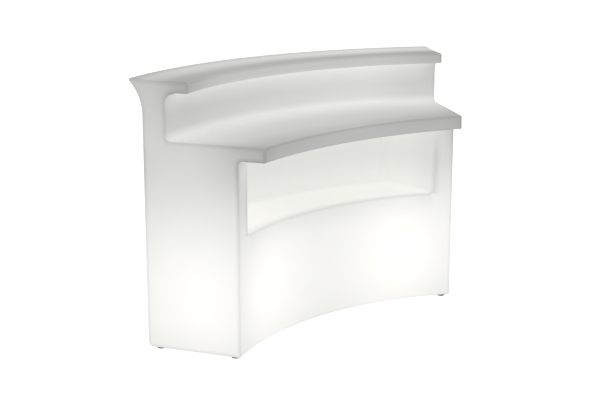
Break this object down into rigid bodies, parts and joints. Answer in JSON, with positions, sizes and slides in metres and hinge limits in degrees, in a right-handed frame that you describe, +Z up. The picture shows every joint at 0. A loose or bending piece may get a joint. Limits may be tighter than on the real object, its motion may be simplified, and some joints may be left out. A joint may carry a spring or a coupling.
{
  "type": "illuminated bar counter",
  "caption": "Curved white translucent bar counter lit from inside, with a raised flared bar top over an open niche, a deeper worktop, a storage pocket and levelling feet.",
  "frame": {"origin": "centre of the whole counter's bounding box in plan, on the floor under the feet", "axes": "+Z up, the concave staff side faces -Y, the flared customer side faces +Y, X runs along the counter"},
  "size_m": [1.669, 0.7143, 1.1057],
  "materials": {
    "shell_white": "translucent white rotomoulded polyethylene, satin, fine moulded texture",
    "foot_black": "black moulded rubber-faced nylon, matt",
    "zinc_steel": "bright zinc plating",
    "bracket_steel": "folded galvanised strip",
    "brass": "turned brass, plain",
    "gasket_rubber": "closed-cell black rubber",
    "cover_white": "cut polyethylene sheet, satin",
    "holder_black": "moulded thermoset, gloss",
    "ceramic_white": null,
    "cap_metal": "rolled aluminium",
    "collar_white": "white heat-conducting plastic, satin",
    "opal_globe": "opal diffusing plastic, satin",
    "gland_grey": "light grey polyamide, satin",
    "box_grey": "light grey moulded plastic, satin",
    "block_cream": "cream insulating plastic",
    "clip_white": "white moulded nylon",
    "cable_white": "white sheathed flexible cable"
  },
  "bodies": {
    "root": {"counter_shell": "shell_white", "foot_inserts": "brass", "hatch_inserts_left": "brass", "hatch_gasket_left": "gasket_rubber", "hatch_cover_left": "cover_white", "hatch_screws_left": "zinc_steel", "lamp_bracket_left": "bracket_steel", "bracket_screws_left": "zinc_steel", "bracket_nuts_left": "zinc_steel", "holder_nipple_left": "brass", "nipple_nut_left": "brass", "holder_body_left": "holder_black", "holder_core_left": "ceramic_white", "holder_contact_left": "brass", "bulb_cap_left": "cap_metal", "bulb_collar_left": "collar_white", "bulb_globe_left": "opal_globe", "hatch_inserts_right": "brass", "hatch_gasket_right": "gasket_rubber", "hatch_cover_right": "cover_white", "hatch_screws_right": "zinc_steel", "lamp_bracket_right": "bracket_steel", "bracket_screws_right": "zinc_steel", "bracket_nuts_right": "zinc_steel", "holder_nipple_right": "brass", "nipple_nut_right": "brass", "holder_body_right": "holder_black", "holder_core_right": "ceramic_white", "holder_contact_right": "brass", "bulb_cap_right": "cap_metal", "bulb_collar_right": "collar_white", "bulb_globe_right": "opal_globe", "gland_body": "gland_grey", "gland_seal": "gasket_rubber", "gland_dome_nut": "gland_grey", "gland_lock_nut": "gland_grey", "terminal_box": "box_grey", "terminal_lid": "box_grey", "terminal_lid_screws": "zinc_steel", "terminal_box_screws": "zinc_steel", "terminal_block": "block_cream", "cable_clip": "clip_white", "clip_screws": "zinc_steel", "link_cable": "cable_white", "lamp_lead": "cable_white"},
    "pad_inner_left": {"foot_pad_inner_left": "foot_black"},
    "stem_inner_left": {"foot_stem_inner_left": "zinc_steel"},
    "pad_inner_right": {"foot_pad_inner_right": "foot_black"},
    "stem_inner_right": {"foot_stem_inner_right": "zinc_steel"},
    "pad_outer_left": {"foot_pad_outer_left": "foot_black"},
    "stem_outer_left": {"foot_stem_outer_left": "zinc_steel"},
    "pad_outer_right": {"foot_pad_outer_right": "foot_black"},
    "stem_outer_right": {"foot_stem_outer_right": "zinc_steel"},
    "pad_middle_left": {"foot_pad_middle_left": "foot_black"},
    "stem_middle_left": {"foot_stem_middle_left": "zinc_steel"},
    "pad_middle_right": {"foot_pad_middle_right": "foot_black"},
    "stem_middle_right": {"foot_stem_middle_right": "zinc_steel"}
  },
  "joints": [
    {"name": "foot_travel_inner_left", "type": "slide", "parent": "root", "child": "pad_inner_left", "axis": [0, 0, -1], "range_m": [0, 0.015]},
    {"name": "stem_turn_inner_left", "type": "hinge", "parent": "pad_inner_left", "child": "stem_inner_left", "pos_m": [-0.59558, -0.21916, 0.01], "axis": [0, 0, -1], "range_deg": [0, 3600]},
    {"name": "foot_travel_inner_right", "type": "slide", "parent": "root", "child": "pad_inner_right", "axis": [0, 0, -1], "range_m": [0, 0.015]},
    {"name": "stem_turn_inner_right", "type": "hinge", "parent": "pad_inner_right", "child": "stem_inner_right", "pos_m": [0.59558, -0.21916, 0.01], "axis": [0, 0, -1], "range_deg": [0, 3600]},
    {"name": "foot_travel_outer_left", "type": "slide", "parent": "root", "child": "pad_outer_left", "axis": [0, 0, -1], "range_m": [0, 0.015]},
    {"name": "stem_turn_outer_left", "type": "hinge", "parent": "pad_outer_left", "child": "stem_outer_left", "pos_m": [-0.75962, 0.06497, 0.01], "axis": [0, 0, -1], "range_deg": [0, 3600]},
    {"name": "foot_travel_outer_right", "type": "slide", "parent": "root", "child": "pad_outer_right", "axis": [0, 0, -1], "range_m": [0, 0.015]},
    {"name": "stem_turn_outer_right", "type": "hinge", "parent": "pad_outer_right", "child": "stem_outer_right", "pos_m": [0.75962, 0.06497, 0.01], "axis": [0, 0, -1], "range_deg": [0, 3600]},
    {"name": "foot_travel_middle_left", "type": "slide", "parent": "root", "child": "pad_middle_left", "axis": [0, 0, -1], "range_m": [0, 0.015]},
    {"name": "stem_turn_middle_left", "type": "hinge", "parent": "pad_middle_left", "child": "stem_middle_left", "pos_m": [-0.2735, 0.23633, 0.01], "axis": [0, 0, -1], "range_deg": [0, 3600]},
    {"name": "foot_travel_middle_right", "type": "slide", "parent": "root", "child": "pad_middle_right", "axis": [0, 0, -1], "range_m": [0, 0.015]},
    {"name": "stem_turn_middle_right", "type": "hinge", "parent": "pad_middle_right", "child": "stem_middle_right", "pos_m": [0.2735, 0.23633, 0.01], "axis": [0, 0, -1], "range_deg": [0, 3600]}
  ],
  "couplings": [
    {"joint": "stem_turn_inner_left", "follows": "foot_travel_inner_left", "rad_per_m": 4188.8},
    {"joint": "stem_turn_inner_right", "follows": "foot_travel_inner_right", "rad_per_m": 4188.8},
    {"joint": "stem_turn_outer_left", "follows": "foot_travel_outer_left", "rad_per_m": 4188.8},
    {"joint": "stem_turn_outer_right", "follows": "foot_travel_outer_right", "rad_per_m": 4188.8},
    {"joint": "stem_turn_middle_left", "follows": "foot_travel_middle_left", "rad_per_m": 4188.8},
    {"joint": "stem_turn_middle_right", "follows": "foot_travel_middle_right", "rad_per_m": 4188.8}
  ]
}
